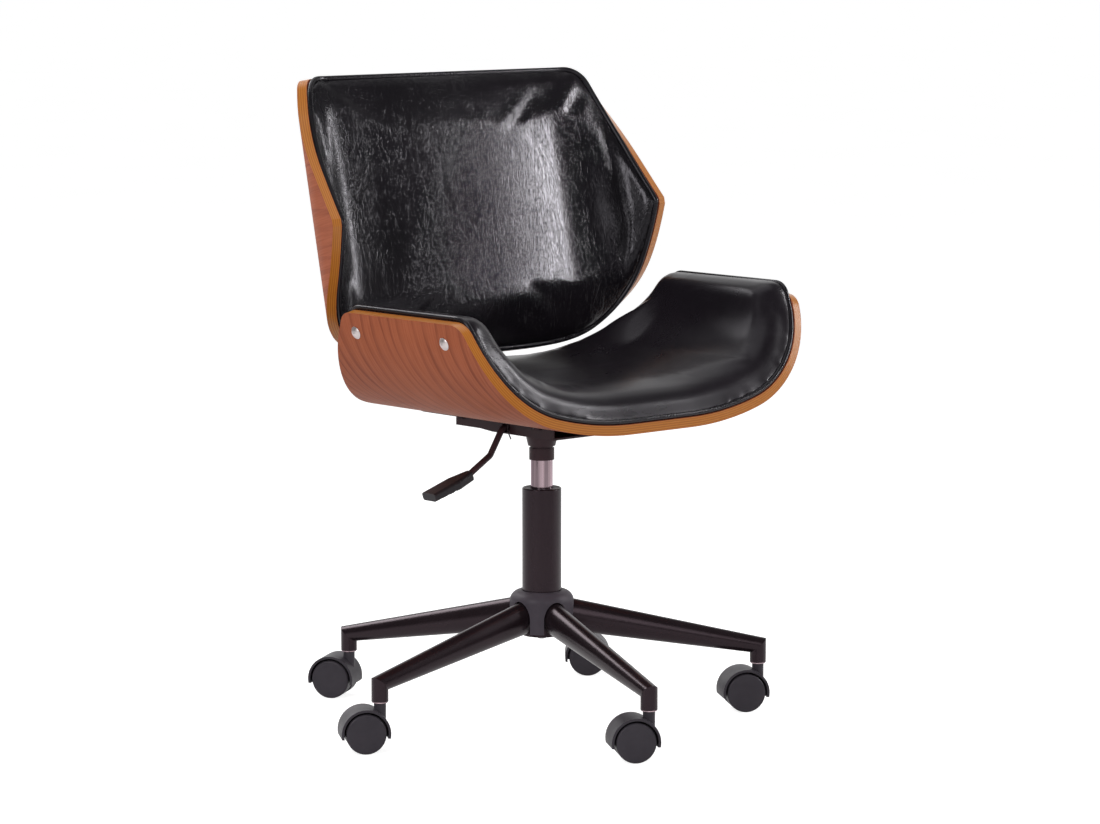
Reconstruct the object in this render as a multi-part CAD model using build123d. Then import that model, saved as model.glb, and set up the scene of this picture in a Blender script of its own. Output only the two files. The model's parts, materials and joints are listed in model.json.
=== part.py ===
from build123d import *
import os
from functools import partial
from math import atan2, cos, hypot, radians, sin

# Desk chair. The front faces -Y, +Z is up, and the origin is on the floor under the lift.

# Clearances
running = 0.05          # shaft in its bore, on the radius
seat_gap = 0.3          # between a piece and what it is seated on
free_gap = 0.5          # between soft forms and rigid neighbours

# Casters
wheel_dia = 50.0
wheel_width = 19.0
wheel_crown = 1.5       # dome of the wheel's outer face
wheel_round = 3.0       # rounding of the tread's shoulders
wheel_recess = 5.0      # depth of the hollow behind the wheel
wheel_cap = 2.5         # wheel's outer wall over the axle's end
hub_boss_dia = 15.0     # boss round the axle, in the wheel and in the hood
axle_dia = 6.0
web_width = 5.0         # wall between the two wheels
wheel_side_gap = 0.4    # between a wheel and the wall
hood_gap = 2.5          # between the tread and the hood
hood_wall = 3.0
hood_drop = 6.0         # how far the hood reaches below the axle
hood_margin = 0.8       # hood stops this far inside the wheels' outer faces
caster_trail = 19.5     # axle to swivel axis
tower_dia = 15.0
stem_dia = 11.0
stem_grip = 9.0         # stem held in the tower
stem_reach = 24.0       # stem held in the socket
caster_headings = [318.5, 122.5, 148.5, 148.5, 148.5]   # where each caster trails at rest

# Base
leg_count = 5
first_leg = 39.6        # angle of the first leg
caster_circle = 283.0   # radius of the circle of caster stems
socket_dia = 21.0
socket_wall = 2.5
socket_foot = 62.0      # height of the socket's lower end
socket_ring = 1.2       # bright flange of the sleeve under the socket
leg_end_z = 84.0        # height where the leg's axis meets the socket's axis
leg_hub_z = 133.0       # height of the leg's axis at the hub
leg_hub_height = 44.0
leg_hub_width = 30.0
leg_end_dia = 20.0
leg_wall = 1.8
hub_dia = 60.0
hub_foot = 111.0
hub_top = 158.0
cover_dia = 82.0
cover_wall = 3.0
cover_foot = 113.0
cover_top = 165.0
cover_shoulder = 14.0   # rounding of the cover's upper edge
cover_slack = 1.2       # between the cover's arches and the legs

# Gas lift
tube_dia = 50.0
tube_wall = 1.8
tube_foot = 107.0
tube_floor = 4.0        # plate that closes the tube's foot
tube_lip = 1.6          # rounding of the tube's mouth
bush_length = 60.0
race_height = 3.0
cage_height = 4.0
race_dia = 34.0
rod_dia = 10.0
rod_tail = 5.0          # rod below the tube's foot
clip_dia = 18.0
clip_thick = 1.6
piston_length = 14.0
cylinder_dia = 28.0
cylinder_wall = 2.0
cylinder_gland = 8.0    # closed ends of the cylinder
cylinder_drop = 22.2    # cylinder's top below the seat's underside
cylinder_bare = 36.0    # bright cylinder between the tube and the collar
lift_down = 20.0        # travel below the rest height
lift_up = 75.0          # travel above the rest height
lift_spare = 9.0        # room left below the cylinder at the lowest height
piston_spare = 3.0      # room left under the piston at the greatest height
cylinder_taper = 0.9    # loss of radius at the tapered top
valve_dia = 8.0
valve_inside = 6.0      # valve pin below the cylinder's top

# Mechanism under the seat
collar_drop = 58.7      # collar's lower end below the seat's underside
collar_dia = 32.0
collar_height = 15.0
groove_height = 3.0
groove_depth = 1.5
funnel_dia = 44.0
socket_drop = 19.2      # socket's upper end below the seat's underside
pan_half_width = 60.0
pan_front = -88.0
pan_rear = 97.0
pan_depth = 20.7        # pan below the seat's underside, near the lift
pan_rear_depth = 18.7   # and at the rear end
pan_step_front = 26.0   # the deeper floor ends here
pan_step_rear = 50.0
pan_sheet = 2.5
plate_half_width = 76.0
plate_thick = 3.0
plate_corner = 12.0
bolt_dia = 8.0
bolt_head_dia = 13.0
bolt_head = 5.0
bolt_bite = 9.0         # bolt inside the wood
bolt_proud = 2.0        # bolt past the bar that it holds
bolt_x = 68.0
bolt_front = -68.0
bolt_rear = 78.0

# Height lever
lever_y = 0.0
lever_drop = 12.2       # rod's axis below the seat's underside
lever_dia = 8.0
lever_pivot_x = -40.0
lever_pin_dia = 4.0
lever_pin_proud = 1.0   # pin past each ear
lever_tip_x = 7.0
lever_bend = 10.0
lever_knee_x = -66.0
lever_elbow = (-87.0, -33.5)    # from the lift's axis and from the rod's height
lever_wrist = (-128.0, -58.0)
grip_length = 62.0
grip_sink = 8.0         # grip starts this far before the wrist
grip_drop = 17.0        # slope of the grip
grip_width_inner = 13.0
grip_width_outer = 25.0
grip_thick = 13.0
grip_scallop = 5.0      # radius of the finger hollows under the grip
scallop_count = 3
ear_thick = 2.5
ear_width = 10.0
clip_wire = 1.6
clip_x = -61.8
clip_spread = 6.0
clip_leg = 9.0
wall_hole = 14.0        # hole in the pan's wall for the rod

# Seat shell
ply = 12.7
seat_under = 391.7      # height of the shell's underside in the middle
seat_flat = 50.0        # half width of the flat middle
floor_radius = 466.0    # gentle bend of the underside
floor_length = 123.0
wing_radius = 154.5     # bend of the underside into the wing
wing_length = 168.0
wing_straight = 14.3
front_edge = -221.0     # front edge in the middle
front_sweep = 50.0      # the front edge's drift rearwards up the wing
sweep_power = 4.0
rear_wing = 49.0        # rear edge at the wing's top
rear_slope = 0.55       # how fast the rear edge runs back below that
tail_round = 43.0       # rounding of the tail in the middle
front_corner = 27.0
rear_corner = 20.0

# Back shell
back_lean = 12.2
back_y = 125.4          # front face, at the height below
back_rise = 108.3       # that height, above the seat's underside
back_flat = 194.0
back_radius = 69.0
back_bend = 93.0        # length of the bend
tip_past = 9.0          # sheet past the widest point, before its outline is cut
back_top = 321.5        # along the lean, from the height above
top_half = 232.0        # half width of the top edge, along the sheet
kink_side = 323.0       # widest point, along the sheet
kink_up = 130.0
back_bottom = -42.5
bottom_power = 4.6      # how square the lower outline is
side_hollow = 26.0      # hollow of the upper sides
tip_blunt = 2.0
top_corner = 24.0
kink_round = 4.0

# Pads
board = 5.0
board_inset = 16.0
pad_inset = 2.0
wing_over = 5.0         # seat pad past the wing's top
top_over = 4.0          # back pad past the back's top
seat_pad_edge = 27.0
seat_pad_crown = 33.0
back_pad_edge = 16.0
back_pad_crown = 24.0
pad_side = 5.0          # how far the pad's sides draw in
pad_bulge = 0.45        # height of a side's widest line, as a share of the edge

# Fasteners in the shells
cap_dia = 16.0
cap_height = 3.2
screw_dia = 6.0
screw_side = 330.0      # along the sheet
screw_front = -138.0
screw_rear = 28.0

# Bar that carries the back
bar_width = 44.0
bar_thick = 6.0
bar_start = 53.0
bar_corner_y = 268.0
bar_bend = 34.0
bar_meet = 58.0         # where the bar meets the back, along the lean
bar_end = 178.0
bar_bolts_up = (88.0, 158.0)
bar_bolt_half = 12.0
bar_anchor = (64.0, 86.0)

wheel_r = wheel_dia / 2
hood_in = wheel_r + hood_gap
hood_out = hood_in + hood_wall
wheel_inner = web_width / 2 + wheel_side_gap
wheel_outer = wheel_inner + wheel_width
leg_angles = [first_leg + 360 / leg_count * k for k in range(leg_count)]
seat_half = seat_flat + floor_length + wing_length + wing_straight
seat_curve = [(seat_flat, None), (floor_length, floor_radius), (wing_length, wing_radius)]
seat_curve += [(wing_straight + ply, None)]
back_straight = kink_side + tip_past - back_flat - back_bend
back_curve = [(back_flat, None), (back_bend, back_radius), (back_straight, None)]
back_z = seat_under + back_rise
cylinder_top = seat_under - cylinder_drop
socket_top = seat_under - socket_drop
collar_foot = seat_under - collar_drop
pan_floor = seat_under - pan_depth
pan_rear_floor = seat_under - pan_rear_depth
lever_z = seat_under - lever_drop
tube_top = collar_foot - cylinder_bare
bearing_foot = tube_foot + tube_floor
bearing_top = bearing_foot + race_height + cage_height
cylinder_foot = bearing_top + running + race_height + lift_down + lift_spare
rod_top = cylinder_foot + cylinder_gland + lift_up + piston_spare + piston_length
bar_z = pan_rear_floor + pan_sheet + bar_thick / 2
lean = radians(back_lean)
stand = (Align.CENTER, Align.CENTER, Align.MIN)
over = 3.0              # how far a cutting form reaches past what it cuts


def rod(diameter, low, high):
    return Pos(0, 0, low) * Cylinder(diameter / 2, high - low, align=stand)


def ring(outer, inner, low, high):
    return rod(outer, low, high) - rod(inner, low - 1, high + 1)


def turned(points):
    # A solid of revolution from a list of radius and height
    face = make_face(Polyline(*[(r, 0, z) for r, z in points], close=True))
    return revolve(face, Axis.Z)


def across(length, diameter):
    # A pin along X, centred
    return Rot(0, 90, 0) * Cylinder(diameter / 2, length)


def polygon(points):
    return Face(Wire.make_polygon(points))


def nearest_edge(solid, point):
    return min(solid.edges(), key=lambda edge: (edge.center() - point).length)


# Casters: the axle lies along X at a distance of the trail along -Y
def wheel_body(side):
    bore = axle_dia / 2 + running
    boss = hub_boss_dia / 2
    rim = wheel_r - 2 * wheel_round
    face = wheel_width + wheel_crown
    cap = face - wheel_cap
    outline = Polyline((0, 0, face), (0, 0, cap), (bore, 0, cap), (bore, 0, 0), (boss, 0, 0),
                       (boss, 0, wheel_recess), (rim, 0, wheel_recess), (rim, 0, 0), (wheel_r, 0, 0),
                       (wheel_r, 0, wheel_width))
    dome = (wheel_r / 2, 0, wheel_width + wheel_crown * 0.75)
    outline += ThreePointArc((wheel_r, 0, wheel_width), dome, (0, 0, face))
    wheel = revolve(make_face(outline), Axis.Z)
    circles = [edge for edge in wheel.edges() if edge.geom_type == GeomType.CIRCLE]
    treads = [edge for edge in circles if abs(edge.radius - wheel_r) < 0.01]
    wheel = fillet(treads, wheel_round * 0.9)
    return Pos(0, -caster_trail, wheel_r) * Rot(0, 90 * side, 0) * Pos(0, 0, wheel_inner) * wheel


def caster_hood():
    half = wheel_outer - hood_margin
    drum = across(2 * half, 2 * hood_out) - across(2 * half + 2, 2 * hood_in)
    web = across(web_width, 2 * hood_in + hood_wall)
    hang = (Align.CENTER, Align.CENTER, Align.MAX)
    below = Pos(0, 0, -hood_drop) * Box(4 * half, 3 * hood_out, 2 * hood_out, align=hang)
    shell = drum + web - below
    shell += across(web_width, hub_boss_dia)
    shell -= across(4 * half, axle_dia)
    shell = Pos(0, -caster_trail, wheel_r) * shell
    top = socket_foot - socket_ring - seat_gap
    tower = rod(tower_dia, wheel_r, top)
    tower -= Pos(0, -caster_trail, wheel_r) * across(4 * half, 2 * hood_in + hood_wall)
    return shell + tower - rod(stem_dia, top - stem_grip, top + 1)


def caster_stem():
    top = socket_foot - socket_ring - seat_gap
    pin = rod(stem_dia, top - stem_grip, socket_foot + stem_reach)
    return chamfer(pin.edges().group_by(Axis.Z)[-1], 1.0)


def caster_axle():
    length = 2 * (wheel_outer + wheel_crown - wheel_cap - seat_gap)
    return Pos(0, -caster_trail, wheel_r) * across(length, axle_dia)


def at_caster(index, solid):
    # The trail along -Y is turned to the caster's rest heading, then moved to its leg
    spot = radians(leg_angles[index])
    turn = caster_headings[index] + 90
    return Pos(caster_circle * cos(spot), caster_circle * sin(spot), 0) * Rot(0, 0, turn) * solid


# Base
def leg_point(radius):
    share = (radius - hub_dia / 2) / (caster_circle - hub_dia / 2)
    return leg_hub_z + (leg_end_z - leg_hub_z) * share


def leg_pitch():
    return atan2(leg_hub_z - leg_end_z, caster_circle - hub_dia / 2)


def leg_loft(shrink, start, end):
    pitch = leg_pitch()
    ends = ((start, leg_hub_width, leg_hub_height), (end, leg_end_dia, leg_end_dia))
    faces = []
    for radius, width, height in ends:
        axis_point = (radius, 0, leg_point(radius))
        spot = Plane(axis_point, x_dir=(0, 1, 0), z_dir=(cos(pitch), 0, -sin(pitch)))
        faces.append(spot * Ellipse(width / 2 - shrink, height / 2 - shrink))
    return loft(faces, ruled=True)


def leg():
    # A tapered oval tube, mitred into an upright socket
    pitch = leg_pitch()
    reach = leg_end_dia
    tube = leg_loft(0, hub_dia / 4, caster_circle + reach)
    mitre = Plane((caster_circle, 0, leg_end_z), z_dir=(cos(pitch), 0, -1 - sin(pitch)))
    tube = split(tube, bisect_by=mitre, keep=Keep.BOTTOM)
    socket = Pos(caster_circle, 0, 0) * rod(socket_dia, socket_foot, leg_end_z + reach)
    socket = split(socket, bisect_by=mitre, keep=Keep.TOP)
    body = tube + socket
    body -= leg_loft(leg_wall, hub_dia / 4 - 1, caster_circle - socket_dia)
    body -= rod(hub_dia, 0, cover_top + reach)
    bore = socket_dia - 2 * socket_wall
    return body - Pos(caster_circle, 0, 0) * rod(bore, socket_foot - 1, socket_foot + stem_reach + 2)


def caster_sleeve():
    bore = stem_dia + 2 * running
    sleeve = ring(socket_dia - 2 * socket_wall, bore, socket_foot, socket_foot + stem_reach)
    flange = ring(socket_dia - 1.5, bore, socket_foot - socket_ring, socket_foot)
    return Pos(caster_circle, 0, 0) * (sleeve + flange)


def base_hub():
    return ring(hub_dia, tube_dia, hub_foot, hub_top)


def hub_cover():
    r = cover_dia / 2
    hole = tube_dia / 2 + cover_slack / 2
    outer = rod(cover_dia, cover_foot, cover_top)
    outer = fillet(outer.edges().group_by(Axis.Z)[-1], cover_shoulder)
    inner = rod(cover_dia - 2 * cover_wall, cover_foot - 1, cover_top - cover_wall)
    inner = fillet(inner.edges().group_by(Axis.Z)[-1], cover_shoulder - cover_wall)
    cover = outer - inner - rod(2 * hole, cover_foot, cover_top + 1)
    half = leg_hub_width / 2 + cover_slack
    rise = leg_hub_height / 2 + cover_slack
    middle = leg_point(r)
    low = cover_foot - over
    arch = Polyline((-half, middle), (-half, low), (half, low), (half, middle))
    arch += EllipticalCenterArc((0, middle), half, rise, 0, arc_size=180)
    tool = extrude(Plane.YZ * make_face(arch), 2 * r)
    for angle in leg_angles:
        cover -= Rot(0, 0, angle) * tool
    return cover


# Gas lift
def lift_tube():
    tube = ring(tube_dia, tube_dia - 2 * tube_wall, tube_foot, tube_top)
    tube = fillet(tube.edges().group_by(Axis.Z)[-1].sort_by(SortBy.RADIUS)[-1], tube_lip)
    floor = ring(tube_dia - tube_wall, rod_dia + 2 * seat_gap, tube_foot, tube_foot + tube_floor)
    return tube + floor


def guide_bush():
    bore = cylinder_dia + 4 * running
    bush = ring(tube_dia - 2 * tube_wall, bore, tube_top - bush_length, tube_top - seat_gap)
    return chamfer(bush.edges().group_by(Axis.Z)[-1].sort_by(SortBy.RADIUS)[0], 1.5)


def thrust_bearing():
    race = ring(race_dia, rod_dia + 2 * seat_gap, bearing_foot, bearing_foot + race_height)
    cage = ring(race_dia - 4, rod_dia + 4 * seat_gap, bearing_foot + race_height, bearing_top)
    return race, cage


def upper_race():
    return ring(race_dia, rod_dia, bearing_top + running, bearing_top + running + race_height)


def piston_rod():
    return rod(rod_dia, tube_foot - rod_tail, rod_top)


def rod_clip():
    clip = ring(clip_dia, rod_dia, tube_foot - seat_gap - clip_thick, tube_foot - seat_gap)
    return clip - Pos(0, -clip_dia / 2, tube_foot) * Box(rod_dia / 2, clip_dia, 4 * clip_thick)


def piston():
    bore = cylinder_dia - 2 * cylinder_wall
    body = ring(bore - 2 * seat_gap, rod_dia, rod_top - piston_length, rod_top)
    groove = ring(bore + 2, bore - 4, rod_top - piston_length * 0.6, rod_top - piston_length * 0.4)
    return body - groove


def cylinder_radius(height):
    share = max(height - collar_foot, 0) / (cylinder_top - collar_foot)
    return cylinder_dia / 2 - cylinder_taper * share


def gas_cylinder():
    r = cylinder_dia / 2
    shell = turned([(0, cylinder_foot), (r - 1, cylinder_foot), (r, cylinder_foot + 1), (r, collar_foot),
                    (cylinder_radius(cylinder_top), cylinder_top), (0, cylinder_top)])
    low = cylinder_foot + cylinder_gland
    high = cylinder_top - cylinder_gland
    shell -= rod(cylinder_dia - 2 * cylinder_wall, low, high)
    shell -= rod(rod_dia + 2 * running, cylinder_foot - over, low + over)
    return shell - rod(valve_dia + 2 * running, high - over, cylinder_top + over)


def valve_pin():
    pin = rod(valve_dia, cylinder_top - valve_inside, lever_z - lever_dia / 2 - seat_gap)
    return fillet(pin.edges().group_by(Axis.Z)[-1], 1.0)


# Mechanism
def column_socket():
    outer = collar_dia / 2
    neck = collar_foot + collar_height
    flare = neck + groove_height
    low = cylinder_radius(collar_foot) + running
    high = cylinder_radius(socket_top) + running
    return turned([(low, collar_foot), (outer, collar_foot), (outer, neck), (outer - groove_depth, neck),
                   (outer - groove_depth, flare), (outer + groove_depth, flare), (funnel_dia / 2, pan_floor),
                   (funnel_dia / 2, socket_top), (high, socket_top)])


def pan_side(sheet):
    # The pan's outline from the side, inset by the sheet where it is bent
    under = seat_under - plate_thick
    front = pan_front - over if sheet else pan_front
    rear = pan_rear - sheet
    low = pan_floor + sheet
    rear_low = pan_rear_floor + sheet
    return [(front, under), (rear, under), (rear, rear_low), (pan_step_rear, rear_low),
            (pan_step_front, low), (front, low)]


def mechanism_pan():
    outside = make_face(Polyline(*pan_side(0), close=True))
    inside = make_face(Polyline(*pan_side(pan_sheet), close=True))
    pan = extrude(Plane.YZ * outside, pan_half_width, both=True)
    pan -= extrude(Plane.YZ * inside, pan_half_width - pan_sheet, both=True)
    plate = Box(2 * plate_half_width, pan_rear - pan_front, plate_thick, align=stand)
    plate = fillet(plate.edges().filter_by(Axis.Z), plate_corner)
    pan += Pos(0, (pan_front + pan_rear) / 2, seat_under - plate_thick) * plate
    pan -= rod(funnel_dia, pan_floor - over, pan_floor + 2 * pan_sheet)
    pan -= Pos(0, pan_rear, bar_z) * Box(bar_width + 2 * seat_gap, 4 * pan_sheet, bar_thick + 2 * seat_gap)
    pan -= Pos(-pan_half_width, lever_y, lever_z) * across(6 * pan_sheet, wall_hole)
    for x in (-bolt_x, bolt_x):
        for y in (bolt_front, bolt_rear):
            pan -= Pos(x, y, 0) * rod(bolt_dia + 2 * running, pan_floor, seat_under + 1)
    for y in bar_anchor:
        pan -= Pos(0, y, 0) * rod(bolt_dia + 2 * running, pan_floor - over, bar_z)
    return pan


def hex_bolt(length):
    # Points up, with the underside of its head at the origin
    head = extrude(RegularPolygon(bolt_head_dia / 2, 6), -bolt_head)
    return head + rod(bolt_dia, 0, length)


def mechanism_bolts():
    bolts = []
    for x in (-bolt_x, bolt_x):
        for y in (bolt_front, bolt_rear):
            bolts.append(Pos(x, y, seat_under - plate_thick) * hex_bolt(plate_thick + bolt_bite))
    for y in bar_anchor:
        bolts.append(Pos(0, y, pan_rear_floor) * hex_bolt(pan_sheet + bar_thick + bolt_proud))
    return bolts


# Height lever
def lever_rod():
    slope = radians(grip_drop)
    end = grip_length * 0.5
    across_down = [(lever_tip_x, 0), (lever_knee_x, 0), lever_elbow, lever_wrist]
    across_down += [(lever_wrist[0] - end * cos(slope), lever_wrist[1] - end * sin(slope))]
    points = [(x, lever_y, lever_z + down) for x, down in across_down]
    path = FilletPolyline(*points, radius=lever_bend)
    bar = sweep(Plane(path @ 0, z_dir=path % 0) * Circle(lever_dia / 2), path)
    return bar - pivot_pin(lever_pin_dia + 2 * running, 2 * lever_dia)


def pivot_pin(diameter, length):
    return Pos(lever_pivot_x, lever_y, lever_z) * Rot(90, 0, 0) * Cylinder(diameter / 2, length)


def lever_grip():
    # A flat paddle that widens outwards, hollowed under for the fingers
    sections = ((-grip_sink, grip_width_inner, grip_thick), (grip_length * 0.3, grip_width_outer, grip_thick),
                (grip_length, grip_width_outer, grip_thick * 0.8))
    faces = []
    for run, width, thick in sections:
        spot = Plane((-run, 0, 0), x_dir=(0, 1, 0), z_dir=(-1, 0, 0))
        faces.append(spot * RectangleRounded(width, thick, thick * 0.3))
    paddle = loft(faces, ruled=True)
    for k in range(scallop_count):
        spot = Pos(-grip_length * (0.45 + 0.2 * k), 0, -grip_thick * 0.5 - grip_scallop * 0.6)
        paddle -= spot * Rot(90, 0, 0) * Cylinder(grip_scallop, 2 * grip_width_outer)
    wrist = Pos(lever_wrist[0], lever_y, lever_z + lever_wrist[1]) * Rot(0, -grip_drop, 0)
    return wrist * paddle - lever_rod()


def lever_clip():
    # A wire hairpin hooked over the rod, beside the pan's wall
    bow = lever_dia / 2 + seat_gap + clip_wire / 2
    half = [(bow, bow), (bow, -bow), (bow + clip_spread, -bow - clip_leg)]
    loop = [(-y, z) for y, z in reversed(half)] + half
    path = FilletPolyline(*[(clip_x, lever_y + y, lever_z + z) for y, z in loop], radius=clip_wire)
    return sweep(Plane(path @ 0, z_dir=path % 0) * Circle(clip_wire / 2), path)


def lever_bracket():
    gap = lever_dia / 2 + seat_gap
    top = seat_under - plate_thick
    ears = []
    for side in (-1, 1):
        y = lever_y + side * (gap + ear_thick / 2)
        low = lever_z - ear_width / 2
        ear = Pos(lever_pivot_x, y, low) * Box(ear_width, ear_thick, top - low, align=stand)
        ear = fillet(ear.edges().filter_by(Axis.Y).group_by(Axis.Z)[0], ear_width * 0.4)
        ears.append(ear - pivot_pin(lever_pin_dia, 4 * gap + 4 * ear_thick))
    return ears


def lever_pin():
    length = lever_dia + 2 * (seat_gap + ear_thick + lever_pin_proud)
    return pivot_pin(lever_pin_dia, length)


# Bent sheets: a curve is a list of lengths from the middle outwards, each flat or of one radius
def bent(run, lift, curve):
    # Across and rise of a point on a sheet whose sides bend up, lifted off its face
    wide, rise, angle = 0.0, 0.0, 0.0
    for length, radius in curve:
        step = min(max(run, 0), length)
        run -= length
        if radius is None:
            wide += step * cos(angle)
            rise += step * sin(angle)
        else:
            turn = angle + step / radius
            wide += radius * (sin(turn) - sin(angle))
            rise += radius * (cos(angle) - cos(turn))
            angle = turn
    return wide - lift * sin(angle), rise + lift * cos(angle)


def bent_line(lift, curve):
    # The right half of the sheet's section at one lift, from the middle outwards
    edges = []
    start = 0.0
    for length, radius in curve:
        ends = [bent(start + length * share, lift, curve) for share in (0, 0.5, 1)]
        edges.append(Line(ends[0], ends[2]) if radius is None else ThreePointArc(*ends))
        start += length
    return edges


def sheet_face(low, high, curve):
    half = sum(length for length, radius in curve)
    outline = Line(bent(0, low, curve), bent(0, high, curve))
    outline += Line(bent(half, low, curve), bent(half, high, curve))
    for edge in bent_line(low, curve) + bent_line(high, curve):
        outline += edge
    side = make_face(outline)
    return side + mirror(side, Plane.YZ)


def seat_slab(low, high):
    # An endless seat sheet, longer than the seat and reaching past the wings' tops
    depth = seat_rear(0) - front_edge
    slab = extrude(Plane.XZ * sheet_face(low, high, seat_curve), depth, both=True)
    return Pos(0, 0, seat_under) * slab


def back_slab(low, high):
    across_plane = Plane((0, back_y, back_z), x_dir=(1, 0, 0), z_dir=(0, sin(lean), cos(lean)))
    face = mirror(sheet_face(low, high, back_curve), Plane.XZ)
    return extrude(across_plane * face, 2 * back_top, both=True)


def seat_at(side, y, lift):
    wide, rise = bent(abs(side), lift, seat_curve)
    return Vector(wide if side >= 0 else -wide, y, seat_under + rise)


def back_at(side, up, lift):
    # Lift is forward from the shell's front face
    wide, rise = bent(abs(side), lift, back_curve)
    y = back_y + up * sin(lean) - rise * cos(lean)
    z = back_z + up * cos(lean) + rise * sin(lean)
    return Vector(wide if side >= 0 else -wide, y, z)


def seat_front(side):
    return front_edge + front_sweep * (abs(side) / seat_half) ** sweep_power


def seat_rear(side):
    return rear_wing + rear_slope * (seat_half - hypot(side, tail_round))


def back_upper(side):
    t = max(abs(side) - top_half, 0) / (kink_side - top_half)
    return back_top + (kink_up - back_top) * t - side_hollow * t * (1 - t)


def back_lower(side):
    return back_bottom + (kink_up - back_bottom) * (abs(side) / kink_side) ** bottom_power


def slant(edge, side):
    # How much longer an inset is along the sheet's length where the edge runs at a slant
    step = 1.0
    return hypot(1, (edge(abs(side)) - edge(abs(side) - step)) / step)


def mirrored(stations):
    return [-s for s in reversed(stations) if s > 0] + stations


def spread(first, last, count):
    return [first + (last - first) * k / count for k in range(count + 1)]


def seat_sheet(low, high, inset):
    # The bent sheet inside an outline that stands square to it all round
    faces = []
    for side in mirrored(spread(0, seat_half - inset, 10)):
        front = seat_front(side) + inset * slant(seat_front, side)
        rear = seat_rear(side) - inset * slant(seat_rear, side)
        corners = ((front, low - over), (rear, low - over), (rear, high + over), (front, high + over))
        faces.append(polygon([seat_at(side, y, lift) for y, lift in corners]))
    return seat_slab(low, high) & loft(faces)


def back_band(stations, low, high, inset, ruled):
    faces = []
    for side in stations:
        foot = back_lower(side) + inset * slant(back_lower, side)
        head = back_upper(side) - inset * slant(back_upper, side)
        corners = ((foot, low - over), (head, low - over), (head, high + over), (foot, high + over))
        faces.append(polygon([back_at(side, up, lift) for up, lift in corners]))
    return loft(faces, ruled=ruled)


def back_sheet(low, high, inset, ruled=False):
    # The middle and the two swept-back sides meet at the ends of the top edge
    slab = back_slab(low, high)
    middle = slab & back_band(mirrored(spread(0, top_half, 8)), low, high, inset, ruled)
    tip = kink_side - tip_blunt - 1.5 * inset
    side = slab & back_band(spread(top_half, tip, 4), low, high, inset, ruled)
    return middle + side + mirror(side, Plane.YZ)


def seat_shell():
    shell = seat_sheet(0, ply, 0)
    for side in (-seat_half, seat_half):
        shell = fillet(nearest_edge(shell, seat_at(side, seat_front(side), ply / 2)), front_corner)
        shell = fillet(nearest_edge(shell, seat_at(side, seat_rear(side), ply / 2)), rear_corner)
    for x in (-bolt_x, bolt_x):
        for y in (bolt_front, bolt_rear):
            shell -= Pos(x, y, 0) * rod(bolt_dia, seat_under - 1, seat_under + bolt_bite)
    for place in wing_spots():
        shell -= place * rod(screw_dia + 2 * running, -1, ply + 2)
    return shell


def back_shell():
    shell = back_sheet(-ply, 0, 0)
    for side in (-1, 1):
        tip = kink_side - tip_blunt
        shell = fillet(nearest_edge(shell, back_at(side * top_half, back_top, -ply / 2)), top_corner)
        shell = fillet(nearest_edge(shell, back_at(side * tip, back_upper(tip), -ply / 2)), kink_round)
        shell = fillet(nearest_edge(shell, back_at(side * tip, back_lower(tip), -ply / 2)), kink_round)
    for place in back_bolt_spots():
        shell -= place * rod(bolt_dia, bar_thick - 1, bar_thick + bolt_bite)
    return shell


def wing_spots():
    # On the outside of the wings, each looking into the wood
    spots = []
    for side in (-screw_side, screw_side):
        for y in (screw_front, screw_rear):
            inward = seat_at(side, y, 1) - seat_at(side, y, 0)
            spots.append(Plane(seat_at(side, y, -seat_gap), x_dir=(0, 1, 0), z_dir=inward).location)
    return spots


def wing_screws():
    screws = []
    bow = ((cap_dia / 2) ** 2 + cap_height ** 2) / (2 * cap_height)
    for place in wing_spots():
        cap = Pos(0, 0, bow - cap_height) * Sphere(bow) & rod(cap_dia, -cap_height - 1, 0)
        screws.append(place * (cap + rod(screw_dia, 0, ply + board / 2)))
    return screws


def seat_board():
    panel = seat_sheet(ply + free_gap, ply + free_gap + board, board_inset)
    for place in wing_spots():
        panel -= place * rod(screw_dia + 2 * running, 0, ply + board / 2 + 1)
    return panel


def back_board():
    return back_sheet(free_gap, free_gap + board, board_inset, ruled=True)


def cushion_face(place, first, last, base, edge, crown):
    # Flat below, sides that draw in towards the top, and a crowned face
    tuck = min(pad_side, (last - first) / 6)
    foot_a = place(first + tuck / 2, base)
    foot_b = place(last - tuck / 2, base)
    side_a = place(first, base + edge * pad_bulge)
    side_b = place(last, base + edge * pad_bulge)
    rim_a = place(first + tuck, base + edge)
    rim_b = place(last - tuck, base + edge)
    top = place((first + last) / 2, base + crown)
    arcs = ((foot_b, side_b, rim_b), (rim_b, top, rim_a), (rim_a, side_a, foot_a))
    edges = [Edge.make_line(foot_a, foot_b)] + [Edge.make_three_point_arc(*arc) for arc in arcs]
    return Face(Wire(edges))


def seat_pad():
    base = ply + free_gap + board + seat_gap
    end = seat_half + wing_over
    faces = []
    for side in mirrored(spread(0, end * 0.9, 8) + [end * 0.95, end]):
        fade = 1 - (abs(side) / end) ** 12
        edge = seat_pad_edge * (0.7 + 0.3 * fade)
        crown = edge + (seat_pad_crown - seat_pad_edge) * (0.2 + 0.8 * fade)
        front = seat_front(side) + pad_inset * slant(seat_front, side) + front_corner * (1 - fade) * 0.6
        rear = seat_rear(side) - pad_inset * slant(seat_rear, side) - rear_corner * (1 - fade) * 0.6
        place = partial(seat_at, side)
        faces.append(cushion_face(place, front, rear, base - over, edge + over, crown + over))
    return seat_slab(base, base + 2 * seat_pad_crown) & loft(faces)


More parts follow.
